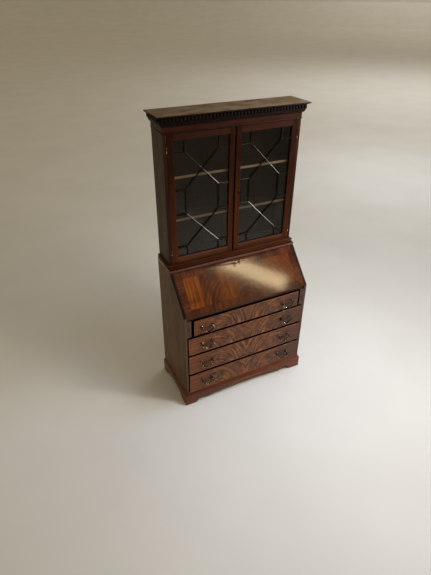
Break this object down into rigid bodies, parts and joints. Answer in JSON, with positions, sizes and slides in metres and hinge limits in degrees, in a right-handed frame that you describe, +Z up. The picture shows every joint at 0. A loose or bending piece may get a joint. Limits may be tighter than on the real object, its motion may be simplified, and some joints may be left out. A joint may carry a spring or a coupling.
{
  "type": "bureau bookcase",
  "caption": "Mahogany bureau bookcase: glazed upper doors with angular astragals, dentil cornice, slope fall, graduated long drawers with swan-neck handles, bracket plinth.",
  "frame": {"origin": "middle of the bounding box, on the floor", "axes": "+Z up; -Y is the front with the drawers and doors; +X to the right seen from the front"},
  "size_m": [0.9854, 0.452, 1.9319],
  "materials": {
    "mahogany": "dark polished mahogany, french polish with waxed wear",
    "figured_veneer": "flame mahogany veneer, high polish",
    "oak": "unpolished oak and pine lining",
    "brass": "aged lacquered brass",
    "steel": "dark blued iron, worn bright on the bow",
    "glass": "old cylinder glass, slightly wavy",
    "leather": "dark green tooled leather"
  },
  "bodies": {
    "carcass": {"bureau_side_left": "mahogany", "bureau_side_right": "mahogany", "bureau_top": "mahogany", "writing_board": "mahogany", "loper_divider_left": "mahogany", "loper_divider_right": "mahogany", "plinth_front": "mahogany", "plinth_left": "mahogany", "plinth_right": "mahogany", "plinth_moulding": "mahogany", "waist_moulding": "mahogany", "upper_side_left": "mahogany", "upper_side_right": "mahogany", "upper_bottom": "mahogany", "upper_top": "mahogany", "upper_back": "mahogany", "frieze": "mahogany", "cornice": "mahogany", "cornice_cap": "mahogany", "shelf_upper": "mahogany", "shelf_lower": "mahogany", "gallery": "mahogany", "bureau_bottom": "oak", "bureau_back": "oak", "dust_board_1": "oak", "dust_board_2": "oak", "dust_board_3": "oak"},
    "door_left": {"door_left_frame": "mahogany", "door_left_glass": "glass", "door_left_astragals": "mahogany"},
    "loper_left": {"loper_left": "mahogany", "loper_knob_left": "brass"},
    "gallery_drawer_left": {"gallery_drawer_left": "mahogany"},
    "door_right": {"door_right_frame": "mahogany", "door_right_glass": "glass", "door_right_astragals": "mahogany"},
    "loper_right": {"loper_right": "mahogany", "loper_knob_right": "brass"},
    "gallery_drawer_right": {"gallery_drawer_right": "mahogany"},
    "door_key": {"door_key": "steel"},
    "fall": {"fall_panel": "figured_veneer", "fall_leather": "leather", "fall_lock_plate": "brass"},
    "fall_key": {"fall_key": "steel"},
    "drawer_1": {"drawer_1_front": "figured_veneer", "drawer_1_box": "oak"},
    "bail_1_left": {"bail_1_left": "brass"},
    "bail_1_right": {"bail_1_right": "brass"},
    "drawer_2": {"drawer_2_front": "figured_veneer", "drawer_2_box": "oak"},
    "bail_2_left": {"bail_2_left": "brass"},
    "bail_2_right": {"bail_2_right": "brass"},
    "drawer_3": {"drawer_3_front": "figured_veneer", "drawer_3_box": "oak"},
    "bail_3_left": {"bail_3_left": "brass"},
    "bail_3_right": {"bail_3_right": "brass"},
    "drawer_4": {"drawer_4_front": "figured_veneer", "drawer_4_box": "oak"},
    "bail_4_left": {"bail_4_left": "brass"},
    "bail_4_right": {"bail_4_right": "brass"}
  },
  "joints": [
    {"name": "door_left_hinge", "type": "hinge", "parent": "carcass", "child": "door_left", "pos_m": [-0.4358, 0.0455, 1.42], "axis": [0, 0, -1], "range_deg": [0, 105]},
    {"name": "door_right_hinge", "type": "hinge", "parent": "carcass", "child": "door_right", "pos_m": [0.4358, 0.0455, 1.42], "axis": [0, 0, 1], "range_deg": [0, 105]},
    {"name": "door_key_turn", "type": "hinge", "parent": "door_right", "child": "door_key", "pos_m": [0.0225, 0.0455, 1.42994], "axis": [0, -1, 0], "range_deg": [0, 90]},
    {"name": "fall_hinge", "type": "hinge", "parent": "carcass", "child": "fall", "pos_m": [0, -0.18528, 0.7424], "axis": [1, 0, 0], "range_deg": [0, 132.76]},
    {"name": "fall_key_turn", "type": "hinge", "parent": "fall", "child": "fall_key", "pos_m": [0, -0.01513, 0.95291], "axis": [0, -0.7342, 0.679], "range_deg": [0, 90]},
    {"name": "loper_left_slide", "type": "slide", "parent": "carcass", "child": "loper_left", "axis": [0, -1, 0], "range_m": [0, 0.26]},
    {"name": "loper_right_slide", "type": "slide", "parent": "carcass", "child": "loper_right", "axis": [0, -1, 0], "range_m": [0, 0.26]},
    {"name": "drawer_1_slide", "type": "slide", "parent": "carcass", "child": "drawer_1", "axis": [0, -1, 0], "range_m": [0, 0.3]},
    {"name": "bail_1_left_swing", "type": "hinge", "parent": "drawer_1", "child": "bail_1_left", "pos_m": [-0.311, -0.2205, 0.65647], "axis": [-1, 0, 0], "range_deg": [0, 85]},
    {"name": "bail_1_right_swing", "type": "hinge", "parent": "drawer_1", "child": "bail_1_right", "pos_m": [0.311, -0.2205, 0.65647], "axis": [-1, 0, 0], "range_deg": [0, 85]},
    {"name": "drawer_2_slide", "type": "slide", "parent": "carcass", "child": "drawer_2", "axis": [0, -1, 0], "range_m": [0, 0.3]},
    {"name": "bail_2_left_swing", "type": "hinge", "parent": "drawer_2", "child": "bail_2_left", "pos_m": [-0.311, -0.2205, 0.51794], "axis": [-1, 0, 0], "range_deg": [0, 85]},
    {"name": "bail_2_right_swing", "type": "hinge", "parent": "drawer_2", "child": "bail_2_right", "pos_m": [0.311, -0.2205, 0.51794], "axis": [-1, 0, 0], "range_deg": [0, 85]},
    {"name": "drawer_3_slide", "type": "slide", "parent": "carcass", "child": "drawer_3", "axis": [0, -1, 0], "range_m": [0, 0.3]},
    {"name": "bail_3_left_swing", "type": "hinge", "parent": "drawer_3", "child": "bail_3_left", "pos_m": [-0.311, -0.2205, 0.35596], "axis": [-1, 0, 0], "range_deg": [0, 85]},
    {"name": "bail_3_right_swing", "type": "hinge", "parent": "drawer_3", "child": "bail_3_right", "pos_m": [0.311, -0.2205, 0.35596], "axis": [-1, 0, 0], "range_deg": [0, 85]},
    {"name": "drawer_4_slide", "type": "slide", "parent": "carcass", "child": "drawer_4", "axis": [0, -1, 0], "range_m": [0, 0.3]},
    {"name": "bail_4_left_swing", "type": "hinge", "parent": "drawer_4", "child": "bail_4_left", "pos_m": [-0.311, -0.2205, 0.18753], "axis": [-1, 0, 0], "range_deg": [0, 85]},
    {"name": "bail_4_right_swing", "type": "hinge", "parent": "drawer_4", "child": "bail_4_right", "pos_m": [0.311, -0.2205, 0.18753], "axis": [-1, 0, 0], "range_deg": [0, 85]},
    {"name": "gallery_drawer_left_slide", "type": "slide", "parent": "carcass", "child": "gallery_drawer_left", "axis": [0, -1, 0], "range_m": [0, 0.14]},
    {"name": "gallery_drawer_right_slide", "type": "slide", "parent": "carcass", "child": "gallery_drawer_right", "axis": [0, -1, 0], "range_m": [0, 0.14]}
  ]
}
